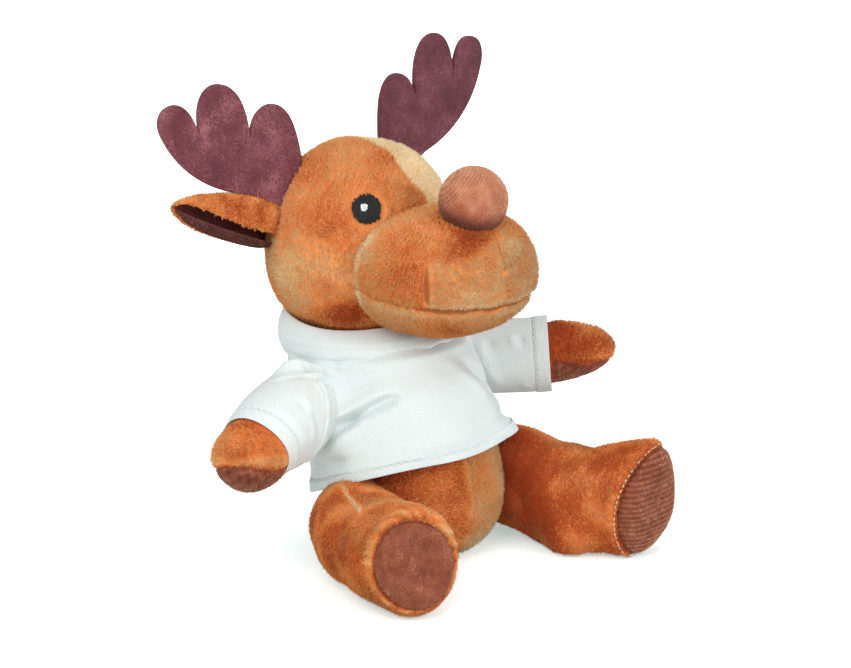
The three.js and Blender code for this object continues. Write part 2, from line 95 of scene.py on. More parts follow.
class Socket:
    """One output of a material's nodes. Sums and products of them add Math nodes."""

    def __init__(self, tree, out=None):
        self.tree, self.out = tree, out

    def node(self, kind, inputs, out=0, stops=None, **settings):
        """Adds a node of this kind: its settings first, then its sockets' values or links."""
        made = self.tree.nodes.new("ShaderNode" + kind)
        for key, value in settings.items():
            setattr(made, key, value)
        for i, (place, colour) in enumerate(stops or ()):
            ramp = made.color_ramp.elements
            stop = ramp[i] if i < len(ramp) else ramp.new(place)
            stop.position, stop.color = place, (*colour, 1)
        for key, value in inputs.items():
            if isinstance(value, Socket):
                self.tree.links.new(value.out, made.inputs[key])
            else:
                made.inputs[key].default_value = value
        return Socket(self.tree, made.outputs[out])

    def sum(self, operation, *values):
        """A Math node on these values."""
        return self.node("Math", dict(enumerate(values)), operation=operation)

    def __add__(self, other):
        return self.sum("ADD", self, other)

    def __sub__(self, other):
        return self.sum("SUBTRACT", self, other)

    def __rsub__(self, other):
        return self.sum("SUBTRACT", other, self)

    def __mul__(self, other):
        return self.sum("MULTIPLY", self, other)

    __radd__, __rmul__ = __add__, __mul__

    def mix(self, low, high):
        """A colour between two, by this share."""
        return self.node("Mix", {0: self, 6: low, 7: high}, out=2, data_type="RGBA")


def finish(name, **constants):
    """A new material: its shader with the constants set, and a Socket to start its nodes from."""
    material = bpy.data.materials.new(name)
    material.use_nodes = True
    shader = material.node_tree.nodes["Principled BSDF"]
    for key, value in constants.items():
        shader.inputs[key.replace("_", " ")].default_value = value
    start = Socket(material.node_tree)
    return material, start, lambda key, value: start.tree.links.new(value.out, shader.inputs[key])


def mark_of(start, name):
    """The number that each point of a mesh carries under this name."""
    return start.node("Attribute", {}, out="Fac", attribute_name=name)


paper, start, drive = finish(
    "paper", Roughness=0.9, Base_Color=(0.93, 0.95, 0.945, 1), Emission_Color=(0.86, 1.0, 0.97, 1))
place = start.node("TexCoord", {}, out="Object")
away = start.node("VectorMath", {0: place}, out=1, operation="LENGTH")
glow = start.node("MapRange", {"Value": away, "From Min": 0.1, "From Max": 0.4, "To Min": 0.46})
drive("Emission Strength", start.node("LightPath", {}) * glow)
bpy.ops.mesh.primitive_plane_add(size=40)
sheet_of_paper = bpy.context.object
sheet_of_paper.name = "paper_sheet"
sheet_of_paper.data.materials.append(paper)


# The body: a sewn bag of short-pile plush, stuffed tight, that leans back and sits
# on its own underside. Its pile is thousands of short leaning tufts on the skin.
rng = np.random.default_rng(11)
FLOOR = 0.03


def unit(v):
    """Each row at length 1."""
    v = np.asarray(v, float)
    return v / np.maximum(np.linalg.norm(v, axis=-1, keepdims=True), 1e-9)


def blend(three, t):
    """A quadratic blend of a root, a middle and a tip value."""
    return three[0] * (1 - t) ** 2 + 2 * three[1] * t * (1 - t) + three[2] * t * t


def wander(p, size, seed):
    """A smooth field from about -1 to 1: the mean of eight sine waves, about size mm
    long, that run in random directions."""
    own = np.random.default_rng(seed)
    ways = unit(own.normal(size=(8, 3))) * 2 * np.pi / (size * own.uniform(0.7, 1.5, (8, 1)))
    return np.clip(np.sin(p @ ways.T + own.uniform(0, 6.28, 8)).mean(-1) * 2.2, -1, 1)


def stuffed(spine, side, up, ends, square=2.0, hint=(0, 0, 1)):
    """A stuffed bag along a quadratic curve. At share t its half-widths are blends of
    three, times (1 - |2t - 1|^n)^(1/n), which closes both ends. Gives its surface over
    (u round, v along) and a test of which points it holds."""
    line = np.array(spine, float)
    dots = blend(line[:, None], np.linspace(0, 1, 61)[:, None])

    def section(t):
        t3 = t[..., None]
        forward = unit(2 * (1 - t3) * (line[1] - line[0]) + 2 * t3 * (line[2] - line[1]))
        right = unit(np.cross(forward, hint))
        n = np.where(t < 0.5, ends[0], ends[1])
        cap = np.clip(1 - np.abs(2 * t - 1) ** n, 0, 1) ** (1 / n)
        return blend(line, t3), forward, right, np.cross(right, forward), cap

    def surface(u, v):
        t = (1 - np.cos(np.pi * np.clip(v, 0, 1))) / 2
        centre, _, right, over, cap = section(t)
        c, s = np.cos(2 * np.pi * u), np.sin(2 * np.pi * u)
        wide = np.sign(c) * np.abs(c) ** (2 / square) * blend(side, t) * cap
        high = np.sign(s) * np.abs(s) ** (2 / square) * blend(up, t) * cap
        return centre + right * wide[..., None] - over * high[..., None]

    def holds(p, grow=0.0):
        share = ((p[:, None] - dots) ** 2).sum(-1).argmin(1) / (len(dots) - 1)
        centre, forward, right, over, cap = section(share)
        x, y = ((p - centre) * right).sum(-1), ((p - centre) * over).sum(-1)
        wide, high = (blend(side, share) + grow) * cap, (blend(up, share) + grow) * cap
        inside = np.abs(x / np.maximum(wide, 1e-6)) ** square + np.abs(y / np.maximum(high, 1e-6)) ** square
        beyond = ((p - centre) * forward).sum(-1) * np.where(share < 0.5, -1, 1)
        return (inside < 1) & (beyond < grow + 0.5)

    return surface, holds


def skin_of(surface, cells, keep, spans=((0, 1), (0, 1))):
    """A surface on a grid of cells, in triangles: its points welded where they meet, its
    triangles facing out, each cell's kept area, the grid and each point's place in it."""
    (u0, u1), (v0, v1) = spans
    u, v = np.meshgrid(np.linspace(u0, u1, cells[0] + 1), np.linspace(v0, v1, cells[1] + 1), indexing="ij")
    p = surface(u, v)
    a, b, c, d = p[:-1, :-1], p[1:, :-1], p[1:, 1:], p[:-1, 1:]
    middle = (a + b + c + d) / 4
    kept = keep(middle.reshape(-1, 3)).reshape(middle.shape[:2])
    area = np.linalg.norm(np.cross(c - a, d - b), axis=-1) / 2 * kept
    corner = np.arange(u.size).reshape(u.shape)
    quads = np.stack([corner[:-1, :-1], corner[1:, :-1], corner[1:, 1:], corner[:-1, 1:]], -1)[kept]
    triangles = np.concatenate([quads[:, [0, 1, 2]], quads[:, [0, 2, 3]]])
    every = p.reshape(-1, 3)
    _, first, same = np.unique((every * 1e3).round(), axis=0, return_index=True, return_inverse=True)
    triangles = same.reshape(-1)[triangles]
    flat = (triangles == np.roll(triangles, 1, 1)).any(1)
    used, triangles = np.unique(triangles[~flat], return_inverse=True)
    triangles, origin = triangles.reshape(-1, 3), first[used]
    points = every[origin]
    e, f, g = points[triangles].transpose(1, 0, 2)
    normal = np.cross(f - e, g - e)
    if (normal * (e - points.mean(0))).sum() < 0:
        triangles = triangles[:, ::-1]
    return points, triangles, area, (u, v), origin


def piece(name, points, triangles, material, **marks):
    """A finished mesh object in the row frame, with a number for each point per mark."""
    mesh = bpy.data.meshes.new(name)
    mesh.vertices.add(len(points))
    mesh.vertices.foreach_set("co", (points * MM).astype(np.float32).ravel())
    mesh.loops.add(triangles.size)
    mesh.loops.foreach_set("vertex_index", triangles.astype(np.int32).ravel())
    mesh.polygons.add(len(triangles))
    mesh.polygons.foreach_set("loop_start", np.arange(0, triangles.size, 3, dtype=np.int32))
    mesh.update(calc_edges=True)
    mesh.validate()
    mesh.shade_smooth()
    for mark, values in marks.items():
        mesh.attributes.new(mark, "FLOAT", "POINT").data.foreach_set("value", values.astype(np.float32))
    mesh.materials.append(material)
    thing = bpy.data.objects.new(name, mesh)
    scene.collection.objects.link(thing)
    return thing


def slopes(surface, u, v, tiny):
    """How a surface runs along u and along v."""
    across = surface(u + tiny, v) - surface(u - tiny, v)
    return across, surface(u, np.minimum(v + tiny, 1)) - surface(u, np.maximum(v - tiny, 0))


def everywhere(p):
    """True at each point."""
    return np.ones(len(p), bool)


def nothing(p):
    """0 at each point."""
    return np.zeros(len(p))


def plush(name, surface, material, keep=everywhere, furred=everywhere, tone=nothing, dull=nothing,
          short=lambda p: 1.0, cells=(160, 110), spans=((0, 1), (0, 1)), face=1, pile=1.8, per_mm2=8.8,
          hair=0.4, lean=0.8, turn=0.0, curl=0.55, apart=False):
    """A panel of plush: its skin, and tufts that are three-sided spikes spread evenly
    over it. Each leans along the panel, turned by a slow random field and drawn towards
    its neighbours; short() is the pile's share of its length and tone() its shade. The
    skin and the roots of the tufts are painted darker, as shade between the tufts. The
    last mark is painted shade too: how far the colour is darkened where the nap is
    turned away from the light. Apart, the tufts are a piece of their own."""
    points, triangles, area, (u, v), _ = skin_of(surface, cells, keep, spans)
    count = int(area.sum() * per_mm2)
    cell = rng.choice(area.size, count, p=area.ravel() / area.sum())
    i, j = np.unravel_index(cell, area.shape)
    su = u[i, 0] + rng.uniform(0, 1, count) * (u[1, 0] - u[0, 0])
    sv = v[0, j] + rng.uniform(0, 1, count) * (v[0, 1] - v[0, 0])
    root = surface(su, sv)
    some = keep(root) & furred(root)
    su, sv, root = su[some], sv[some], root[some]
    across, along = slopes(surface, su, sv, 1e-3)
    normal = unit(np.cross(across, along))
    normal *= face * np.sign((normal * (root - points.mean(0))).sum())
    along = unit(along)
    beside = np.cross(normal, along)
    way = turn + 1.6 * wander(root, 26, 3) + 0.7 * wander(root, 7, 4)
    lay = along * np.cos(way)[:, None] + beside * np.sin(way)[:, None]
    steep = lean * (0.75 + 0.35 * wander(root, 12, 5))
    count = len(root)
    drawn = np.stack([wander(root, 1.2, seed) for seed in (41, 42, 43)], -1)
    grow = unit(normal + lay * steep[:, None] + curl * drawn + rng.normal(0, 0.2, (count, 3)))
    one = unit(np.cross(grow, rng.normal(size=(count, 3))))
    two = np.cross(grow, one)
    width = hair / 2 * rng.uniform(0.7, 1.25, count)
    long = pile * rng.uniform(0.7, 1.15, count) * short(root)
    foot = root - normal * 0.3
    thirds = 2 * np.pi / 3 * np.arange(3)
    corners = [foot + width[:, None] * (np.cos(a) * one + np.sin(a) * two) for a in thirds]
    spikes = np.stack([*corners, foot + grow * long[:, None]], 1)
    sides = np.array([[0, 1, 3], [1, 2, 3], [2, 0, 3]])
    n = len(points)
    tufts = (n + np.arange(count)[:, None, None] * 4 + sides).reshape(-1, 3)
    shade = tone(root) + 0.32 * wander(root, 1.5, 44) + rng.normal(0, 0.16, count)
    # Painted shade between the tufts: the skin and each tuft's three root corners are drawn darker, its tip a
    # little lighter.
    shades = np.append(tone(points) - 0.8, shade[:, None] + (-0.7, -0.7, -0.7, 0.2))
    dulls = np.append(dull(points), np.repeat(dull(root), 4))
    every = np.concatenate([points, spikes.reshape(-1, 3)])
    if apart:
        skin = piece(name, points, triangles, material, tone=shades[:n], dull=dulls[:n])
        return skin, piece(f"{name}_pile", every[n:], tufts - n, material, tone=shades[n:], dull=dulls[n:])
    every[:, 2] = np.maximum(every[:, 2], FLOOR)
    return piece(name, every, np.concatenate([triangles, tufts]), material, tone=shades, dull=dulls)


def near(distance, width):
    """1 on a line and 0 away from it, over this width in mm."""
    return np.exp(-((distance / width) ** 2))


def pushed(surface, how):
    """The surface moved in or out along its normal, by how(point) mm."""

    def moved(u, v):
        p = surface(u, v)
        normal = unit(np.cross(*slopes(surface, u, v, 2e-3)))
        inner = p.reshape(-1, 3).mean(0)
        outwards = np.sign((normal * (p - inner)).sum()) or 1.0
        amount = how(p.reshape(-1, 3)).reshape(p.shape[:-1])
        return p + normal * (outwards * amount)[..., None]

    return moved


def step(value, width):
    """From 0 to 1 as a value passes 0, softly over this width."""
    return 1 / (1 + np.exp(-np.clip(value / width, -30, 30) * 3))


def creased(p, strokes):
    """The sum at each point of strokes along straight lines: each has its two ends, a
    width, and a height that fades at its ends."""
    total = 0.0
    for a, b, width, height in strokes:
        a, b = np.array(a, float), np.array(b, float)
        share = np.clip((p - a) @ (b - a) / ((b - a) @ (b - a)), 0, 1)
        away = np.linalg.norm(p - a - share[..., None] * (b - a), axis=-1)
        total += height * near(away, width) * np.sin(np.pi * (0.12 + 0.76 * share))
    return total


CREAM, TAN, ORANGE, RUST = (1.0, 0.78, 0.48), (0.8, 0.55, 0.27), (0.88, 0.31, 0.08), (0.44, 0.07, 0.018)
plush_orange, start, drive = finish(
    "plush_orange", Roughness=0.85, Sheen_Weight=0.3, Sheen_Roughness=0.5, Sheen_Tint=(1.0, 0.66, 0.32, 1),
    Specular_IOR_Level=0.15)
place = start.node("TexCoord", {}, out="Object")
patches = start.node("TexNoise", {"Vector": place, "Scale": 90.0, "Detail": 3.0, "Roughness": 0.6})
level = mark_of(start, "tone") * 0.4 + (patches - 0.5) * 0.55 + 0.42
bright = start.node("ValToRGB", {0: level}, stops=[(0.0, RUST), (0.42, ORANGE), (0.84, TAN), (1.0, CREAM)])
# Painted shade: where the nap is turned from the light, the colour is mixed towards dark brown.
drive("Base Color", mark_of(start, "dull").mix(bright, (0.3, 0.1, 0.03, 1)))

torso, _ = stuffed(
    [(0, -4, -2.5), (0, 1, 34), (0, 30.5, 72)], (30, 29.5, 23.5), (28, 27, 21.5), (2.7, 2.6))


def torso_shape(u, v):
    """The torso's bag with its front seam pressed in and its underside flat."""
    p = pushed(torso, lambda p: -1.2 - 0.5 * near(p[:, 0], 0.8) * (p[:, 1] < 0))(u, v)
    p[..., 2] = np.maximum(p[..., 2], FLOOR)
    return p


def torso_tone(p):
    """Orange on the right half, tan on the left one and low down, rust at the hip, and
    much darker above 60 mm: painted shade where the top shows between the collar and
    the head.
    """
    half = 0.9 * step(p[:, 0] + 1.5 + 1.2 * wander(p, 8, 19), 1.5) - 0.5 * step(-20 - p[:, 0], 3)
    return -0.15 + half + 0.5 * step(9 - p[:, 2], 4) - 1.0 * (p[:, 2] > 60)


def dress(thing, body, slot, *nodes, fill=None):
    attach(thing, body)
    if nodes:
        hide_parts(*nodes)


# The left half of the belly is also painted darker, as shade.
torso_skin = plush(
    "torso_plush", torso_shape, plush_orange, furred=lambda p: (p[:, 2] < 42) & (p[:, 2] > 0.5),
    tone=torso_tone, dull=lambda p: 0.25 * step(p[:, 0] + 1.5, 2), cells=(130, 90), turn=3.1, per_mm2=7.6)
dress(torso_skin, "torso", "plush", "torso_skin", "torso_stuffing", fill=0.9)


# The legs: stuffed plush tubes that bow inwards, sewn along the top. Each is closed
# by an oval sole of mauve ribbed plush with a puckered seam, topstitched at one side.
mauve, start, drive = finish(
    "plush_mauve", Roughness=0.9, Sheen_Weight=0.25, Sheen_Tint=(1.0, 0.7, 0.5, 1), Specular_IOR_Level=0.15)
place = start.node("TexCoord", {}, out="Object")
patches = start.node("TexNoise", {"Vector": place, "Scale": 200.0, "Detail": 3.0})
level = mark_of(start, "tone") * 0.5 + (patches - 0.5) * 0.5 + 0.5
bright = start.node("ValToRGB", {0: level}, stops=[
    (0.0, (0.12, 0.026, 0.014)), (0.5, (0.34, 0.1, 0.05)), (1.0, (0.76, 0.41, 0.24))])
# Painted shade: where the nap is turned from the light, the colour is mixed towards a dark plum.
drive("Base Color", mark_of(start, "dull").mix(bright, (0.11, 0.022, 0.04, 1)))
thread, *_ = finish("thread_pale", Roughness=0.7, Base_Color=(0.7, 0.46, 0.27, 1))


def threads(name, starts, ends, radius, material):
    """Short rounded strands, one between each pair of points: five-sided rings of a
    capsule's profile."""
    starts, ends = np.asarray(starts, float), np.asarray(ends, float)
    forward = unit(ends - starts)
    one = unit(np.cross(forward, forward[:, [1, 2, 0]] + 0.3))
    two = np.cross(forward, one)
    profile = ((-1, 0.02), (-0.7, 0.7), (0, 1), (0, 1), (0.7, 0.7), (1, 0.02))
    rings = []
    for i, (reach, wide) in enumerate(profile):
        centre = (starts if i < 3 else ends) + forward * reach * radius
        for a in 2 * np.pi / 5 * np.arange(5):
            rings.append(centre + wide * radius * (np.cos(a) * one + np.sin(a) * two))
    points = np.stack(rings, 1)
    k, j = np.divmod(np.arange(25), 5)
    a, b = k * 5 + j, k * 5 + (j + 1) % 5
    quads = np.stack([a, b, b + 5, a + 5], -1).reshape(-1, 4)
    caps = np.array([[0, 2, 1], [0, 3, 2], [0, 4, 3], [25, 26, 27], [25, 27, 28], [25, 28, 29]])
    strand = np.concatenate([quads[:, [0, 1, 2]], quads[:, [0, 2, 3]], caps])
    every = strand + len(rings) * np.arange(len(starts))[:, None, None]
    return piece(name, points.reshape(-1, 3), every.reshape(-1, 3), material)


STITCH_PITCH = 1.9
FOOT_DEPTH, FOOT_RADIUS = 14, 21


class Foot:
    """The blunt end of a leg: its axes, the tilt of its end and the rim of its sole."""

    def __init__(self, line, tilt, rim):
        self.toe, self.rim = np.array(line[2], float), rim
        self.ahead = unit(self.toe - np.array(line[1], float))
        self.level = unit(np.cross(self.ahead, (0, 0, 1)))
        self.above = np.cross(self.level, self.ahead)
        self.slope = np.tan(np.radians(tilt))
        self.face = unit(self.ahead + self.above * self.slope)
        self.upright = np.cross(self.level, self.face)

    def tilted(self, p):
        """The end leans: points near it move along the leg by their height times a slope."""
        q = p - self.toe
        lean = self.slope * (q @ self.above) * step(q @ self.ahead + FOOT_DEPTH, 8)
        return p - self.ahead * lean[..., None]

    def round_(self, p):
        """The place of each point seen from the foot's middle, behind the toe: its turn
        round the foot's axis and its angle from it, in radians."""
        q = p - self.toe + FOOT_DEPTH * self.face
        x, y, z = q @ self.level, q @ self.upright, q @ self.face
        return np.arctan2(y, x), np.arctan2(np.hypot(x, y), z)

    def inside(self, p):
        """How far inside the rim a point is, in mm. At a turn t the rim is at the angle
        a + b cos t + c sin t + d cos 2t, in degrees."""
        turn, angle = self.round_(p)
        a, b, c, d = self.rim
        rim = a + b * np.cos(turn) + c * np.sin(turn) + d * np.cos(2 * turn)
        return FOOT_RADIUS * (np.radians(rim) - angle)

    def ring(self, p):
        """The puckered ring round the sole, widest above and inwards: its height from 0
        to 1 with an uneven ripple round the foot."""
        turn = self.round_(p)[0]
        wide = 1.9 + 1.5 * np.cos(turn - 1.2)
        ripple = 0.7 * np.sin(16 * turn + 5 * wander(p, 11, 9)) + 0.7 * wander(p, 4, 10)
        return near(self.inside(p) + wide, wide) * (0.7 + 0.35 * ripple)


HIP_X = 22.3
LEGS = {
    "l": (1, [(30, 13, 19.5), (39, -21, 12), (46.8, -62.5, 21.5)], (20.5, 11, 24), -16, (66, -7, -8, 2), (
        ((24, -38, 3), (32, -38, 5), 13, 6.5), ((40, -26, 30), (40, -38, 30), 11, -2.8),
        ((32, 2, 32), (35, -20, 32), 11, 4.2))),
    "r": (-1, [(-30, 13, 18.5), (-41, -20, 11), (-51.5, -55, 21)], (19, 13, 22), 0, (55, 7.5, -5, 1.5), (
        ((-33, -10, 36), (-33, 4, 36), 17, 1.4), ((-38, 1, 31), (-55, -32, 29.4), 1.0, -0.8),
        ((-54, -20, 20), (-54, -8, 20), 13, 1.8))),
}
# Strokes of tone on each leg. The left one's first, dark on the inner side, is painted shade at the crotch;
# the right one's first is a painted highlight along the thigh's seam.
LEG_TONES = {
    "l": (
        ((22, -12, 34), (22, -30, 8), 9, -1.3), ((32, -6, 34), (40, -40, 34), 8, -0.45),
        ((30, -40, 2), (40, -56, 4), 9, 0.5), ((32, -30, 22), (40, -48, 24), 8, 0.25),
        ((28, -50, 28), (28, -50, 10), 5, 0.4), ((40, -52, 38), (44, -60, 36), 6, -0.5),
    ),
    "r": (
        ((-38, 1, 30.4), (-55, -32, 28.8), 0.75, 2.4), ((-44, -8, 31), (-54, -28, 30), 4, 0.3),
        ((-48, -30, 8), (-52, -44, 4), 9, 0.5), ((-57, -18, 26), (-60, -38, 23), 6, -0.45),
        ((-36, -36, 30), (-40, -44, 34), 6, 0.5), ((-56, -10, 14), (-58, -30, 14), 7, -0.3),
    ),
}
for tag, (side, line, up, tilt, rim, bumps) in LEGS.items():
    leg, _ = stuffed(line, (16.5, 18, 18.3), up, (2.4, 4.6))
    foot = Foot(line, tilt, rim)

    def swell(p):
        """How far the leg's skin stands out: the sole's dome, its seam and ring, and the
        bumps of the filling."""
        q = foot.tilted(p)
        end = 1.3 * step(foot.inside(q) - 6, 9) - 1.1 * near(foot.inside(q), 1.1) + foot.ring(q)
        return end - 1.2 + 0.5 * wander(p, 22, 8) + creased(p, bumps)

    def shape(u, v):
        """The leg's bag with its end tilted, a puckered ring round the sole and a flat
        inner side where it is sewn to the hip."""
        p = foot.tilted(pushed(leg, swell)(u, v))
        inner = HIP_X - 3 * step(-p[..., 1] - 27, 5)
        p[..., 0] = side * (inner + 1.2 * np.logaddexp(0, (side * p[..., 0] - inner) / 1.2))
        p[..., 2] = np.maximum(p[..., 2], FLOOR)
        return p

    def leg_tone(p):
        """Tan on the ring round the sole and painted shade in the sole's seam, and strokes:
        on the left leg the first is painted shade at the crotch, and on the right one the
        first is a painted highlight along the seam of the thigh."""
        return (-0.22 - 0.11 * side + (0.8 - 0.25 * side) * foot.ring(p)
                - 0.9 * near(foot.inside(p), 0.9) + 0.35 * wander(p, 13, 6) + creased(p, LEG_TONES[tag]))

    def furred(p):
        """False on the ground and on the flat that is sewn to the hip."""
        sewn = (side * p[:, 0] < HIP_X + 0.5) & (np.hypot(p[:, 1] + 4, p[:, 2] - 17) < 20)
        return (p[:, 2] > 1.0) & ~sewn

    # The puckered ring round the sole is also painted a little darker, as shade.
    leg_skin = plush(
        f"leg_plush_{tag}", shape, plush_orange, keep=lambda p: foot.inside(p) < 0.4, furred=furred,
        tone=leg_tone, dull=lambda p: 0.12 * foot.ring(p), cells=(150, 130), pile=1.5, per_mm2=7.8, lean=1.3,
        curl=0.35)
    dress(leg_skin, f"leg_{tag}", "plush", f"leg_skin_{tag}", f"leg_stuffing_{tag}", fill=0.9)

    def sole_tone(p):
        """A rim painted dark, as shade in the seam, and on the left sole ribs across it."""
        ribs = 0.15 * (1 + side) * np.sin((p @ foot.upright) * 2 * np.pi / 1.8 + 0.5 * wander(p, 9, 18))
        return 0.3 - 0.6 * near(foot.inside(p) - 0.3, 1.0) + 0.12 * wander(p, 3, 7) + ribs

    sole = plush(
        f"sole_plush_{tag}", shape, mauve, keep=lambda p: foot.inside(p) > -0.3, tone=sole_tone,
        cells=(180, 230), spans=((0, 1), (0.64, 1)), pile=0.8, per_mm2=14, hair=0.3)
    dress(sole, f"leg_{tag}", "mauve_plush", f"sole_{tag}", fill=0.8)

    if tag == "l":
        u, v = np.meshgrid(np.linspace(0, 1, 200), np.linspace(1, 0.6, 300), indexing="ij")
        grid = shape(u, v)
        edge = (foot.inside(grid.reshape(-1, 3)).reshape(u.shape) < -0.6).argmax(1)
        rim = grid[np.arange(len(grid)), edge]
        walk = np.append(0, np.cumsum(np.linalg.norm(np.diff(rim, axis=0), axis=1)))
        middles = np.arange(1, walk[-1] - 1, STITCH_PITCH)
        starts, ends = (
            np.stack([np.interp(middles + shift, walk, axis) for axis in rim.T], -1)
            for shift in (-0.35, 0.35))
        out = unit(starts - foot.toe + FOOT_DEPTH * foot.face) * rng.uniform(0.3, 0.9, (len(starts), 1))
        dots = threads("sole_stitches", starts + out, ends + out, 0.26, thread)
        dress(dots, "leg_l", "white_thread")


# The arms: stuffed plush tubes with a plump hand and a mauve palm under it, sewn to
# the upper part at a seam that runs round the hand.
SHOULDER = np.array([28, 25, 52.5])
SLEEVE_LENGTH = 38.0
ARMS = {
    "l": (1, (0.73, -0.67, 0.07), (12.4, 12.8, 12.8), 60.0, (10, 11.4, 12), 2.4, (0, 0.1, -1), 0.0),
    "r": (
        -1, (-0.925, -0.34, -0.18), (12.6, 17.6, 12.6), 56.0, (10, 12.9, 14.4), 3.2, (-0.21, -0.23, -0.95),
        7.0),
}
for tag, (side, aim, _, length, girth, blunt, palm_way, drop) in ARMS.items():
    shoulder = SHOULDER * (side, 1, 1)
    aim, palm_way = unit(aim), unit(palm_way)
    arm, _ = stuffed(
        [shoulder - aim * 10.6, shoulder + aim * length * 0.42, shoulder + aim * length], girth, girth,
        (2, blunt))

    def below(p):
        """How far a point is below the seam round the hand, which waves a little."""
        return (p - shoulder - aim * SLEEVE_LENGTH) @ palm_way - drop + 0.6 * wander(p, 9, 14)

    def beyond(p):
        """How far a point is past the cuff, which reaches further on top of the right
        hand."""
        away = p - shoulder - ((p - shoulder) @ aim)[:, None] * aim
        return (p - shoulder) @ aim - SLEEVE_LENGTH - 2.2 * (1 + unit(away)[:, 2]) * (side < 0)

    def palmed(p):
        """True on the palm: past the cuff and below the seam."""
        return (beyond(p) > 1) & (below(p) > 0)

    def hand_tone(p):
        """Darker at the cuff of the left hand, as painted shade under the sleeve; tan
        beside the seam, and painted shade in it.
        """
        edge = 0.5 * near(below(p) + 2.5, 2.0) - 1.8 * near(below(p), 0.9)
        cuff = (0.3 + 0.3 * side) * step(8 - beyond(p), 4)
        return -0.15 - 0.35 * side + edge - cuff + 0.4 * wander(p, 14, 12)

    hand = pushed(arm, lambda p: -1.1 - 0.9 * near(below(p), 1.0) + 0.4 * wander(p, 18, 9))
    arm_skin = plush(
        f"arm_plush_{tag}", hand, plush_orange, keep=lambda p: (beyond(p) > -16) & ~palmed(p),
        furred=lambda p: beyond(p) > -1.5, cells=(120, 140), tone=hand_tone,
        short=lambda p: (1 - 0.5 * near(below(p), 1.2)) * (1 - 0.7 * step(0.8 - beyond(p), 2)))
    dress(arm_skin, f"arm_{tag}", "plush", f"arm_skin_{tag}", f"arm_stuffing_{tag}", fill=0.9)
    palm = plush(
        f"palm_plush_{tag}", hand, mauve, keep=palmed, cells=(120, 140), pile=0.8, per_mm2=14, hair=0.3,
        tone=lambda p: 0.1 + 0.12 * np.sin(p @ aim * 2 * np.pi / 1.2) + 0.25 * wander(p, 3, 15))
    dress(palm, f"arm_{tag}", "mauve_plush", f"palm_{tag}", fill=0.8)


# The T-shirt: white single jersey, a front and a back panel sewn at the sides, with a
# turned hem that is zig-zag stitched. It hangs loose over the belly, with slack folds
# from the armpits and a roll at each shoulder.
SHIRT_LINE = np.array([(0, 3, 29), (0, 10, 49), (0, 24, 65.5)])
HEM_SEAM, CUFF_SEAM = 0.075, 0.87
ROLL = (
    ((-44, 27, 65.5), (-33, 19, 65.5), 2.3, 3.8), ((-37, 21.5, 66.3), (-28, 12.5, 65.2), 1.3, 2.0),
    ((-39, 16.5, 63.8), (-29, 12.5, 62.6), 1.3, 2.0), ((-36, 19.5, 65), (-28.2, 12.6, 64.4), 1.1, -3.8),
    ((-48, 20, 64), (-30, 12.2, 61.2), 1.1, -2.6), ((-43, 29, 66), (-27, 13, 66.5), 1.1, -2.2),
)
SHIRT_FOLDS = (
    ((-36.5, 12, 43), (-20.5, -6, 57.5), 1.8, -5.8),
    ((-35.6, 11.8, 46.4), (-21.2, -2.2, 58.4), 2.6, 2.0),
    ((-35, 8.2, 39.5), (-19.8, -5.8, 52.6), 2.6, 2.4),
    ((-36, 12, 33), (-27, -8, 40), 1.8, -3.2),
    ((-32, -2, 33), (-12, -19, 40), 3.0, 1.4),
    ((-26, 5, 61.5), (2, -9, 63), 2.4, -1.6),
    ((-20, -6, 57), (8, -14, 55), 4.0, 1.0),
    ((10, -9, 68), (24, -8, 52), 2.6, -3.0),
    ((4, -10, 66), (14, -14, 50), 3.0, 2.2),
    ((26, -4, 54), (14, -15, 46), 2.2, -1.8),
    ((26, -10, 44), (12, -20, 39), 2.6, 1.6),
    ((17, -19, 45), (28, -7, 42), 3.0, -2.4),
    *ROLL,
    ((30, 38, 58), (26, 8, 63.5), 2.0, 2.4),
    ((-34, 24, 36), (-20, 38, 50), 3.0, 2.0),
    ((34, 24, 36), (18, 40, 52), 3.0, 2.0),
    ((-10, 48, 40), (6, 46, 58), 3.5, 1.4),
    ((-30, 20, 30), (-14, 38, 36), 3.0, -1.6),
)


def armholes(p):
    """The cloth rises in a soft fillet round each sleeve."""
    total = 0.0
    for side, aim, radii, *_ in ARMS.values():
        away = np.linalg.norm(np.cross(p - SHOULDER * (side, 1, 1), unit(aim)), axis=-1) - radii[0]
        total += 2.0 * near(away, 3.5) * (side * p[..., 0] > 0)
    return total


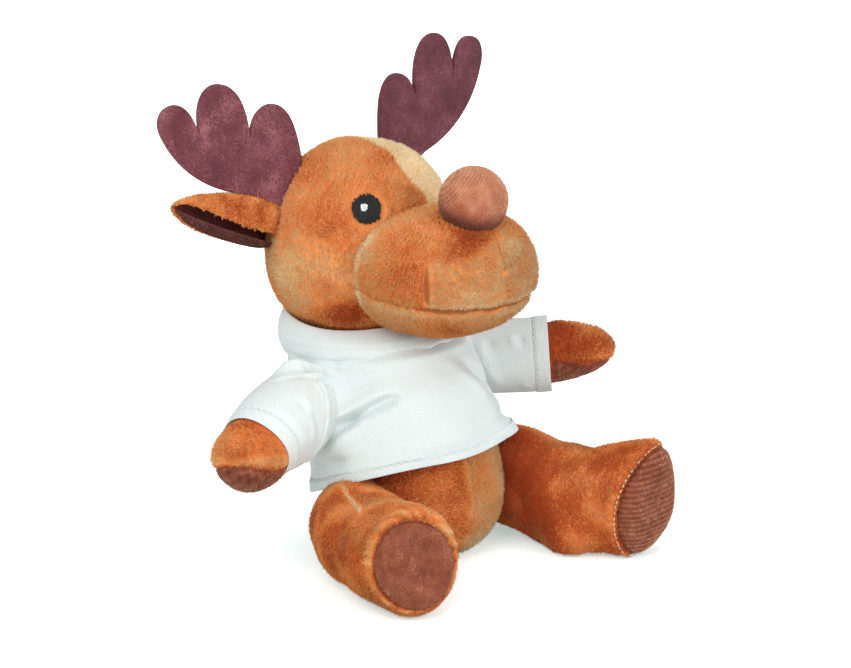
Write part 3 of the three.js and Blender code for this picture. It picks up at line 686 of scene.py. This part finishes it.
def shirt(u, v):
    """A tube whose centre line is quadratic from the hem to the neck seam. Its section
    is an ellipse that tilts from 20 to 8 degrees, with waves that die out upwards. It
    is widest at the right of the hem, and the left of the hem stands up. Below 0, v goes
    back up inside the hem."""
    share = np.maximum(v, 0.0)
    inner = np.clip(-v * 20, 0, 1)
    angle = 2 * np.pi * u
    tilt = np.radians(20 - 12 * share)
    front = np.maximum(0, -np.sin(angle))
    low = np.maximum(1 - share, 0) ** 2
    at_right, at_left = (near(np.angle(np.exp(1j * (angle - to))), 0.75) for to in (-0.74, 2.6))
    wave = 0.9 * np.cos(7 * angle + 0.6) * low
    turned = 0.35 * step(HEM_SEAM - share, 0.01) - 0.3 * near(share - HEM_SEAM, 0.012)
    flare = 0.9 * step(0.13 - share, 0.04) * (1 + 0.6 * np.cos(angle)) - 1.5 * at_right * low
    flare = flare + at_left * (3.2 * low + 1.6 * near(share - 0.25, 0.12))
    lift = wave + turned + flare + 0.3 - 1.0 * inner + 1.0 * near(share - 0.97, 0.06)
    wide = blend((33.5, 30, 28), share) + lift
    deep = blend((32, 27.5, 28), share) + lift
    centre = blend(SHIRT_LINE, (share + inner * 0.08)[..., None])
    round_ = deep * np.sin(angle)
    p = centre + np.stack([wide * np.cos(angle), round_ * np.cos(tilt), -round_ * np.sin(tilt)], -1)
    out = unit(p - centre)
    p[..., 2] += low * (4.5 * at_right - 1.5 * at_left - 2.2 * front * (0.5 + 0.5 * np.cos(2 * angle + 2.6)))
    folds = creased(p, SHIRT_FOLDS) + armholes(p) + 0.5 * wander(p, 16, 17)
    return p + out * (folds * (1 - inner))[..., None]


jersey, start, drive = finish(
    "jersey", Roughness=0.9, Sheen_Weight=0.1, Specular_IOR_Level=0.2,
    Subsurface_Weight=0.1, Subsurface_Scale=0.002)
wale, course = mark_of(start, "wale"), mark_of(start, "course")
knit = (start.sum("SINE", wale * (2 * np.pi / 0.9) + course * 2.0) * 0.6
        + start.sum("SINE", course * (2 * np.pi / 0.8)) * 0.4)
drive("Base Color", (knit * 0.5 + 0.5).mix((0.64, 0.70, 0.69, 1), (0.72, 0.775, 0.765, 1)))
drive("Normal", start.node("Bump", {"Height": knit, "Strength": 0.3, "Distance": 0.00025}))
ZIGZAG_PITCH = 2.3
white_thread, *_ = finish("thread_white", Roughness=0.7, Base_Color=(0.7, 0.75, 0.74, 1))


def cloth(name, surface, cells, spans, size, keep=everywhere):
    """A sheet of jersey over (u, v). The marks say where each point is across and along
    the cloth, in mm, for its knit."""
    points, triangles, _, (u, v), origin = skin_of(surface, cells, keep, spans)
    return piece(
        name, points, triangles, jersey, wale=u.ravel()[origin] * size[0], course=v.ravel()[origin] * size[1])


def zigzag(name, surface, v, height, pitch, size):
    """A zig-zag row of stitches round a tube of cloth, just above its surface."""
    count = int(size[0] / pitch) * 2
    u = np.linspace(0, 1, count, endpoint=False)
    rows = v + height / size[1] * (np.arange(count) % 2 - 0.5)
    p = surface(u, rows)
    p = p + unit(p - p.mean(0)) * 0.12
    return threads(name, p, np.roll(p, -1, 0), 0.17, white_thread)


SEAM_POINT, SEAM_WAY = np.array([0, 13, 45.0]), unit([0, -0.88, 0.47])
for panel, sign in (("shirt_front", 1), ("shirt_back", -1)):
    body_cloth = cloth(
        f"cloth_{panel}", shirt, (280, 170), ((0, 1), (-0.05, 1.06)), (195, 46),
        keep=lambda p: ((p - SEAM_POINT) @ SEAM_WAY) * sign > 0)
    dress(body_cloth, "torso", "jersey", panel)
hem_stitches = zigzag("hem_stitches", shirt, HEM_SEAM + 0.003, 1.2, ZIGZAG_PITCH, (200, 46))
dress(hem_stitches, "torso", "white_thread")


# The sleeves: a tube of jersey each, sewn into the armhole, baggy at the elbow and
# turned in at the cuff.
ARMHOLE = (
    (-35.8, 13.2, 62.6), (-35.8, 9.4, 58.6), (-38.4, 6.0, 53.2), (-40.8, 4.9, 47.0), (-43.9, 5.4, 42.1),
    (-47.5, 7.0, 38.5),
)
BESIDE = [(x - 2, y - 0.3, z) for x, y, z in ARMHOLE]
SLEEVE_FOLDS = {
    "l": (
        ((33, 6, 64), (42, 6, 45), 1.8, -1.4), ((39, 2, 66), (44, -2, 46), 1.5, 0.9),
        ((41, -1, 66), (47, -3, 47), 1.4, -1.0), ((31, 8, 62), (35, 3, 48), 2.2, 1.6),
        ((46, -4, 66), (50, -8, 46), 1.6, 0.7),
    ),
    "r": (
        *ROLL, ((-50, 8, 62), (-43, 2, 48), 2.0, -0.9),
        ((-58, 8, 60), (-52, 0, 46), 2.2, 0.9), ((-46, 8, 62), (-48, 1, 46), 1.6, 0.7),
        *((a, b, 0.7, 1.3) for a, b in zip(ARMHOLE, ARMHOLE[1:])),
        *((a, b, 0.6, 1.0) for a, b in zip(BESIDE, BESIDE[1:])),
    ),
}
for tag, (side, aim, radii, *_) in ARMS.items():
    shoulder, aim = SHOULDER * (side, 1, 1), unit(aim)
    right = unit(np.cross(aim, (0, 0, 1)))
    over = np.cross(right, aim)
    inwards = unit([side, -0.3, 0.0])

    def sleeve(u, v):
        """A tube whose radius is a quadratic blend, with slack rings round it; u starts
        at its underside. Below 0, v closes it in a dome inside the body, and beyond 1 v
        goes back inside the cuff. The right one is longer on top."""
        angle = 2 * np.pi * u + np.pi / 2
        share = np.minimum(v, 1.0)
        inner = np.clip((v - 1) * 20, 0, 1)
        behind = np.clip(-v / 0.33, 0, 1)
        slack = 0.35 * np.sin(3 * angle + 5 * share) * share + 1.6 * near(share, 0.12) * (1 - behind)
        turned = 0.3 * step(share - CUFF_SEAM, 0.01) - 0.25 * near(share - CUFF_SEAM, 0.015)
        past = np.maximum(share, 0)
        radius = (blend(radii, past) + slack + turned - 0.25 - inner) * np.sqrt(1 - behind ** 2)
        radius = radius - 0.7 * (1 + np.sin(angle)) * past ** 4 * (side < 0)
        longer = 2.2 * (1 - np.sin(angle)) * share ** 3 * (side < 0)
        centre = shoulder + aim * ((share - inner * 0.08) * SLEEVE_LENGTH + longer)[..., None]
        centre = centre + (inwards - aim) * (np.minimum(share, 0) * SLEEVE_LENGTH)[..., None]
        out = right * np.cos(angle)[..., None] - over * np.sin(angle)[..., None]
        p = centre + out * radius[..., None]
        return p + out * (creased(p, SLEEVE_FOLDS[tag]) * (1 - inner))[..., None]

    sleeve_cloth = cloth(f"cloth_sleeve_{tag}", sleeve, (150, 150), ((0, 1), (-0.3, 1.05)), (88, 38))
    cuff_stitches = zigzag(f"cuff_stitches_{tag}", sleeve, CUFF_SEAM, 0.7, ZIGZAG_PITCH, (84, 38))
    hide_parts(f"sleeve_{tag}")
    bend = [(place * MM).tolist() for place in (shoulder, shoulder + aim * 14)]
    for thing in (sleeve_cloth, cuff_stitches):
        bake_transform(thing)

# The neckband: the jersey folded double and standing up in a soft roll. It runs from
# the shirt's neck seam to a rim under the head.
BAND_LOW = ((0, 25.6, 64.6), 29.0, 29.4, 9)
BAND_HIGH = ((0, 31.0, 76.0), 26.3, 24.8, 0)
BAND_FOLDS = (
    ((-30, 34, 67), (-28, 14, 67.5), 2.2, 1.2), ((-24, 8, 64.5), (-12, 0, 65), 2.2, -0.8),
    ((-9, -3.5, 66), (-2, -5.5, 67), 1.8, 1.3), ((-5, -4, 70), (-2, -5, 65), 0.7, -0.9),
    ((-20, 6, 72), (2, -3, 73), 2.6, 0.7),
)


def band_rim(rim, angle):
    """An ellipse round the neck: its centre, two half-widths and tilt in degrees."""
    centre, wide, deep, tilt = rim
    round_, tilt = deep * np.sin(angle), np.radians(tilt)
    return centre + np.stack([wide * np.cos(angle), round_ * np.cos(tilt), -round_ * np.sin(tilt)], -1)


def neckband(u, v):
    """A flat rounded ring section, open below, carried round the neck between two rims
    and bulging a little here and there."""
    angle, turn = 2 * np.pi * u, 2 * np.pi * v + np.pi
    low, high = band_rim(BAND_LOW, angle), band_rim(BAND_HIGH, angle)
    height = np.sign(np.cos(turn)) * np.abs(np.cos(turn)) ** 0.6
    out = unit(np.stack([np.cos(angle), np.sin(angle), np.full_like(angle, 0.1)], -1))
    belly = 1 - height ** 2
    thick = np.sin(turn) * np.where(np.sin(turn) > 0, 1.0, 3.0) + (1.5 + 0.5 * np.sin(5 * angle + 1)) * belly
    p = (low + high) / 2 + (high - low) / 2 * height[..., None] + out * thick[..., None]
    lower = np.maximum(-height, 0)
    p[..., 2] += 0.5 * np.sin(3 * angle + 0.5) * height + lower * (
        1.8 * near(angle - 4.8, 0.2) - 0.9 * near(angle - 4.2, 0.3) + 0.8 * near(angle - 2.5, 0.3))
    return p + out * creased(p, BAND_FOLDS)[..., None]


band = cloth("cloth_neckband", neckband, (300, 48), ((0, 1), (0.06, 0.94)), (182, 24))
dress(band, "torso", "jersey", "neckband")


# The head: a ball of three plush panels, a broad gusset over the top and two sides.
# Stuffed hard, it is a little fuller below. The pad under it is hidden.
HEAD_CENTRE = np.array([0, 32, 100.6])
HEAD_RADIUS = 32.2
BALL = (HEAD_RADIUS, HEAD_RADIUS, HEAD_RADIUS)
head, head_holds = stuffed(
    [(0, 32, 67.4), (0, 32, 100), (0, 32, 134)], BALL, BALL, (2.5, 2.05), hint=(0, 1, 0))
muzzle, muzzle_holds = stuffed(
    [(0, 26, 93), (0, -4, 96.5), (0, -39.5, 104)], (24, 29, 26), (18, 24.5, 20.5), (2.2, 2.9), square=2.25)
GUSSET = 9.0
EYES = {"l": (21.3, -20.6, 12.4), "r": (-16.9, -21.9, 18.0)}


def head_swell(p):
    """How far the head's skin stands out: less in its two long seams."""
    return -1.2 - 0.6 * near(np.abs(p[:, 0]) - GUSSET, 0.8) + 0.4 * wander(p, 24, 21)


def eye_distance(p):
    """How far each point is from the nearer eye."""
    eyes = [HEAD_CENTRE + unit(way) * HEAD_RADIUS for way in EYES.values()]
    return np.minimum(*[np.linalg.norm(p - eye, axis=1) for eye in eyes])


# Strokes of tone on the head: the first two are painted shade on the head under the snout, the others lighter
# patches.
HEAD_TONES = (
    ((-24, 13, 88), (-20, 14, 78), 6, -0.8), ((24, 13, 88), (20, 14, 78), 6, -0.8),
    ((-16, 9, 117), (-6, 5, 118), 4, 0.35),
    ((-30, 26, 116), (-24, 46, 122), 9, 0.3), ((-30, 30, 104), (-31, 42, 96), 9, 0.35),
    ((-12, 6, 120), (-3, 8, 126), 5, 0.2),
)


def head_tone(p):
    """Painted shade low down, above the collar, tan on the lower cheek and orange above,
    and painted light along the top of the left side panel, whose pile lies the other
    way and catches the light."""
    cheek = step(108 - p[:, 2], 9) * step(44 - p[:, 1], 8)
    low = step(83 + 0.3 * (20 - p[:, 1]) - p[:, 2], 4)
    left = step(p[:, 0] - 6.5 + 4.5 * step(p[:, 2] - 121, 3) + 0.8 * wander(p, 7, 23), 0.8)
    left = left * step(24 - p[:, 0], 5) * step(54 - p[:, 1], 9) * step(p[:, 2] - 100, 12)
    return (0.1 + 0.8 * cheek - 1.1 * low + 0.25 * near(eye_distance(p), 8) + 1.8 * left
            + 0.25 * wander(p, 20, 22) + creased(p, HEAD_TONES))


for name, where, nodes in (
    ("side_l", lambda p: p[:, 0] > GUSSET, ["head_side_l"]),
    ("side_r", lambda p: p[:, 0] < -GUSSET, ["head_side_r"]),
    ("gusset", lambda p: np.abs(p[:, 0]) <= GUSSET, ["head_gusset", "head_stuffing"]),
):
    panel = plush(
        f"head_plush_{name}", pushed(head, head_swell), plush_orange, tone=head_tone, cells=(200, 120),
        keep=lambda p: where(p) & ~muzzle_holds(p, -2.5), furred=lambda p: eye_distance(p) > 4.2,
        short=lambda p: 1 - 0.5 * step(7.0 - eye_distance(p), 1.0))
    dress(panel, "head", "plush", *nodes, fill=0.95)

NECK = (13, 14, 13)
neck, _ = stuffed([(0, 27, 60), (0, 29, 66), (0, 30, 72)], NECK, NECK, (2.4, 2.4), hint=(0, 1, 0))
neck_pad = plush("neck_pad", neck, plush_orange, cells=(48, 24), per_mm2=1.0)
dress(neck_pad, "neck", "stuffing", "neck_stuffing", fill=0.6)

# The snout: two upper panels that meet in front, each with a short dart at the cheek,
# and a chin below the mouth seam.
MOUTH = 92.5
NOSE_CENTRE = np.array([0, -23, 125.0])
DART = ((22.9, -26.1, 91.0), (22.7, -25.1, 107.0))


def mirrored(p):
    """Each point, or its mirror image where it is on the right."""
    return np.stack([np.abs(p[:, 0]), p[:, 1], p[:, 2]], -1)


def muzzle_seams(p, width):
    """1 on the two darts and the mouth seam, less on the front seam and where the mouth
    seam nears the cheek, fading over this width."""
    wave = 0.5 * wander(p, 9, 34)
    front = 0.2 * near(p[:, 0] + 0.6 * wave, width) * (p[:, 2] > MOUTH) * (p[:, 1] < -20)
    mouth = near(p[:, 2] - MOUTH + wave, width) * (0.35 + 0.65 * step(-p[:, 1] - 22, 3))
    darts = 1.2 * creased(mirrored(p) + 0.5 * wave[:, None], [(*DART, 1.3 * width, 1.0)])
    return np.maximum.reduce([mouth, front, darts])


def muzzle_swell(p):
    """How far the snout's skin stands out: less in its seams."""
    return -1.2 - 1.2 * muzzle_seams(p, 1.0) + 0.5 * wander(p, 24, 31)


MUZZLE_TONES = (
    ((22, 8, 112), (12, -14, 117), 8, 0.65), ((24, 0, 108), (26, -2, 96), 5, 0.25),
    ((14, -30, 113), (2, -32, 115), 4, -0.35), ((22, -20, 85), (8, -32, 82), 4, -0.5),
)


def muzzle_tone(p):
    """Tan in front below a line that rises to the nose, rust low on the cheek, orange
    above, and pale along the root, where the pile stands up. Painted shade darkens a
    ring round the nose, the chin's underside and the seams."""
    above = p[:, 2] > MOUTH
    ahead = step(-p[:, 1] - 24.5, 1.0)
    patch = ahead * step(107.5 + 0.34 * (23 + p[:, 0]) + wander(p, 8, 35) - p[:, 2], 1.5) * above
    # Painted shade: a dark ring where the nose meets the snout, the chin's underside and the seams.
    nose = near(np.linalg.norm(p - NOSE_CENTRE, axis=1) - 12, 4.5)
    streaks = np.sin(p[:, 1] * 4.2 + 2.5 * wander(p, 5, 33)) * (1 - ahead) * above
    root = near(np.linalg.norm(p - HEAD_CENTRE, axis=1) - HEAD_RADIUS - 1.5, 2.0) * step(110 - p[:, 2], 5)
    chin = 0.45 * (~above) * (1 - 1.5 * step(84.5 - p[:, 2], 3))
    light = 0.5 * near(p[:, 2] - MOUTH + 2.2, 1.3) + 0.35 * near(p[:, 2] - MOUTH - 1.8, 1.2) * ahead
    return (0.18 + 0.75 * patch + chin - 0.22 * streaks - 0.8 * nose * (1 - 0.5 * patch) + light + 0.9 * root
            - 1.1 * muzzle_seams(p, 0.6) + 0.3 * wander(p, 20, 32) + creased(mirrored(p), MUZZLE_TONES))


def muzzle_dull(p):
    """Painted shade: the front takes less light, its left half most, and so does the
    chin's underside; the seams are drawn darker too.
    """
    left = 0.2 * step(p[:, 0] - 1, 2) * step(113 - p[:, 2], 5)
    front = (0.26 + left) * step(-p[:, 1] - 26, 3)
    return np.minimum(front + 0.25 * step(84 - p[:, 2], 4) + 0.8 * muzzle_seams(p, 0.7), 0.9)


for name, where in (
    ("side_l", lambda p: (p[:, 2] > MOUTH) & (p[:, 0] > 0)),
    ("side_r", lambda p: (p[:, 2] > MOUTH) & (p[:, 0] <= 0)),
    ("chin", lambda p: p[:, 2] <= MOUTH),
):
    panel = plush(
        f"muzzle_plush_{name}", pushed(muzzle, muzzle_swell), plush_orange, cells=(210, 160),
        keep=lambda p: where(p) & ~head_holds(p, -2.5), tone=muzzle_tone, dull=muzzle_dull,
        short=lambda p: 1 - 0.65 * muzzle_seams(p, 1.3))
    dress(panel, "head", "plush", f"muzzle_{name}", fill=0.95)


# The nose: a stuffed ball of finely ribbed mauve plush, gathered underneath and sewn to
# the top of the snout.
NOSE_RADIUS = 11.3


def nose_ball(u, v):
    """A sphere from its pole angles."""
    a, b = 2 * np.pi * u, np.pi * v
    way = np.stack([np.sin(b) * np.cos(a), np.sin(b) * np.sin(a), -np.cos(b)], -1)
    return NOSE_CENTRE + NOSE_RADIUS * way


def nose_tone(p):
    """Fine slanting ribs, and painted shade underneath, where the nose sits on the snout."""
    slant = p @ unit(-0.75 * RIGHT + (0, 0, 0.65))
    under = step(122.5 + 0.3 * (p[:, 1] + 23) - p[:, 2], 6)
    return 1.05 + 0.16 * np.sin(slant * 2 * np.pi / 0.95 + 0.7 * wander(p, 9, 51)) - 2.4 * under


nose = plush(
    "nose_plush", nose_ball, mauve, keep=lambda p: ~muzzle_holds(p, -2), tone=nose_tone, cells=(120, 70),
    pile=0.7, per_mm2=16, hair=0.28)
dress(nose, "head", "mauve_plush", "nose_cover", "nose_stuffing", fill=0.95)


# The eyes: discs of black satin stitch, sewn through the plush, with a small white
# stitched highlight.
black, *_ = finish(
    "thread_black", Roughness=0.42, Base_Color=(0.006, 0.007, 0.009, 1), Specular_IOR_Level=0.35)
SATIN_DEPTH = 1.2


def satin(name, centre, out, radius, pitch, lift, material, strand, jitter):
    """Parallel threads over a round patch of the head: each is a chain of strands that
    follows the ball, a little long or short of the patch's edge."""
    across = unit(np.cross(out, (0.25 * np.sign(centre[0]), 0, 1)))
    up = np.cross(across, out)
    starts, ends = [], []
    for x in np.arange(-radius, radius + 0.01, pitch):
        half = np.sqrt(max(radius ** 2 - x ** 2, 0.04))
        y = np.linspace(-half - rng.uniform(-0.5, 1) * jitter, half + rng.uniform(-0.5, 1) * jitter, 6)
        flat = centre + across * (x + rng.normal(0, pitch * 0.15)) + up * y[:, None]
        high = HEAD_RADIUS - SATIN_DEPTH + lift + 0.3 * np.cos(y / radius * 1.5) + rng.normal(0, 0.06)
        dome = HEAD_CENTRE + unit(flat - HEAD_CENTRE) * high[:, None]
        starts += list(dome[:-1])
        ends += list(dome[1:])
    return threads(name, starts, ends, strand, material)


GLINT_SHIFT = np.array([-1.2, 0.0, 0.77])
for tag, way in EYES.items():
    out = unit(way)
    centre = HEAD_CENTRE + out * HEAD_RADIUS
    eye = satin(f"eye_satin_{tag}", centre, out, 4.75, 0.36, 1.0, black, 0.25, 0.8)
    glint = satin(
        f"eye_highlight_{tag}", centre + GLINT_SHIFT, out, 1.15, 0.34, 1.35, white_thread, 0.21, 0.35)
    dress(eye, "head", "black_thread", f"eye_{tag}")
    dress(glint, "head", "white_thread", f"eye_glint_{tag}")


# The antlers: cut from 2 mm mauve felt, three round lobes each, and sewn into the
# seams of the gusset at the root.
felt, start, drive = finish(
    "felt", Roughness=1.0, Sheen_Weight=0.3, Sheen_Tint=(0.9, 0.6, 0.65, 1), Specular_IOR_Level=0.1)
place = start.node("TexCoord", {}, out="Object")
fibre = start.node(
    "TexNoise", {"Vector": place, "Scale": 700.0, "Detail": 5.0, "Distortion": 2.5, "Roughness": 0.65})
broad = start.node("TexNoise", {"Vector": place, "Scale": 120.0, "Detail": 2.0})
level = (fibre - 0.5) * 1.5 + (broad - 0.5) * 0.8 + mark_of(start, "tone") * 0.5 + 0.5
drive("Base Color", start.node("ValToRGB", {0: level}, stops=[
    (0.0, (0.06, 0.014, 0.021)), (0.5, (0.155, 0.042, 0.055)), (1.0, (0.42, 0.17, 0.18))]))
drive("Normal", start.node("Bump", {"Height": fibre, "Strength": 0.6, "Distance": 0.0006}))
BEZIERS = [
    (-1, -4), (-0.6, 2), (0, 8), (1.6, 12.5), (4.5, 20), (10.5, 21), (15, 16.5), (16.6, 14.6), (17.6, 12),
    (18, 9.2), (17.8, 22), (22.5, 29), (29.5, 28.8), (35.5, 28), (38, 21), (36.6, 11.8), (38.5, 21), (42, 25),
    (46.5, 24.4), (51.8, 23.5), (53, 18.5), (50.5, 13.5), (46, 3), (36, -6), (20, -9.5),
]
t = np.linspace(0, 1, 14, endpoint=False)[:, None]
bends = []
for i in range(0, len(BEZIERS) - 3, 3):
    a, b, c, d = np.array(BEZIERS[i:i + 4], float)
    bends.append(a * (1 - t) ** 3 + 3 * b * t * (1 - t) ** 2 + 3 * c * t * t * (1 - t) + d * t ** 3)
outline = np.concatenate([*bends, np.array([BEZIERS[-1], (6, -16)])])
FELT_HALF, FELT_EDGE = 0.6, 0.35
for tag, side, sweep in (("l", 1, 0.08), ("r", -1, 0.16)):
    curve = bpy.data.curves.new("antler_outline", "CURVE")
    curve.dimensions, curve.fill_mode = "2D", "BOTH"
    curve.extrude, curve.bevel_depth, curve.bevel_resolution = FELT_HALF, FELT_EDGE, 2
    curve.offset = -FELT_EDGE
    spline = curve.splines.new("POLY")
    spline.points.add(len(outline) - 1)
    spline.points.foreach_set("co", np.c_[outline, np.zeros(len(outline)), np.ones(len(outline))].ravel())
    spline.use_cyclic_u = True
    drawn = bpy.data.objects.new("antler_outline", curve)
    scene.collection.objects.link(drawn)
    cut = bpy.data.meshes.new_from_object(drawn.evaluated_get(bpy.context.evaluated_depsgraph_get()))
    bpy.data.objects.remove(drawn)
    welded = bmesh.new()
    welded.from_mesh(cut)
    bmesh.ops.remove_doubles(welded, verts=welded.verts, dist=1e-4)
    welded.to_mesh(cut)
    flat = np.array([vertex.co for vertex in cut.vertices])
    base = np.array([18.1 * side, 42.2, 129.1])
    out, rise = np.array([side, sweep, 0]), np.array([0, 0.14, 1])
    through = unit(np.cross(out, rise))
    placed = base + flat[:, [0]] * out + flat[:, [1]] * rise + flat[:, [2]] * through
    cut.vertices.foreach_set("co", (placed * MM).ravel())
    # Painted shade: the left antler is drawn darker than the right one.
    tone = np.full(len(cut.vertices), -0.12 - 0.12 * side, np.float32)
    cut.attributes.new("tone", "FLOAT", "POINT").data.foreach_set("value", tone)
    if side < 0:
        cut.flip_normals()
    cut.materials.clear()
    cut.materials.append(felt)
    antler = bpy.data.objects.new(f"antler_felt_{tag}", cut)
    scene.collection.objects.link(antler)
    dress(antler, "head", "felt", f"antler_{tag}")


# The ears: a leaf of plush lined with ribbed mauve plush, folded lengthwise, so that it
# opens forwards and down. The root is sewn into the side of the head.
EARS = {"l": (1, (62, 47, 85)), "r": (-1, (-72, 43, 122.5))}
EAR_ROOT = np.array([22.0, 47, 106])
LIP, LINING_INSET = 0.8, 1.5
for tag, (side, tip) in EARS.items():
    root, tip = EAR_ROOT * (side, 1, 1), np.array(tip, float)
    along = unit(tip - root)
    ahead = unit((0, -1, 0) + along * along[1])
    above = np.cross(ahead, along) * side

    def ear(u, v, inset=0.0):
        """A half-open tube: u goes from its front edge over the top and the back to its
        lower lip, v from the root to the tip. The front edge curls down at the root. The
        inset stops at the lip."""
        s = np.clip(v, 0, 1)
        cap = (1 - s ** 4) ** 0.6 * (0.85 + 0.15 * step(s - 0.12, 0.1))
        high = (9.6 - 3.8 * s) * cap
        deep = 6.5 * cap
        first, last = np.radians(-26 + 36 * s + 70 * s ** 6), np.radians(314 + 25 * s)
        angle = first + (last - first) * u
        close = 1 - np.abs(np.minimum(u / LIP, 1) * 2 - 1) ** 14
        high, deep = high - inset * close * cap, deep - inset * close * cap
        sag = above * (-0.5 * np.sin(np.pi * s))[..., None]
        middle = root + (tip - root) * s[..., None] + sag
        return middle + ahead * (deep * np.cos(angle))[..., None] + above * (high * np.sin(angle))[..., None]

    outer = plush(
        f"ear_plush_{tag}", ear, plush_orange, tone=lambda p: -0.05 + 0.45 * wander(p, 10, 61),
        cells=(90, 90), spans=((0, LIP), (0, 1)), pile=1.7, per_mm2=10, apart=True)
    # The lining is painted darker all over, as shade inside the fold.
    lining = plush(
        f"ear_lining_plush_{tag}", lambda u, v: ear(u, v, LINING_INSET), mauve,
        tone=lambda p: 0.35 * np.sin(p @ along * 2 * np.pi / 1.6), dull=lambda p: np.full(len(p), 0.5),
        cells=(90, 90), face=-1, pile=0.6, per_mm2=10, hair=0.3, apart=True)
    for (skin, tufts), node, slot, wide, area in (
        (outer, "ear_outer", "plush", 0.036, 0.00115),
        (lining, "ear_lining", "mauve_plush", 0.046, 0.00145),
    ):
        dress(skin, f"ear_{tag}", slot, f"{node}_{tag}")
        dress(tufts, f"ear_{tag}", slot)
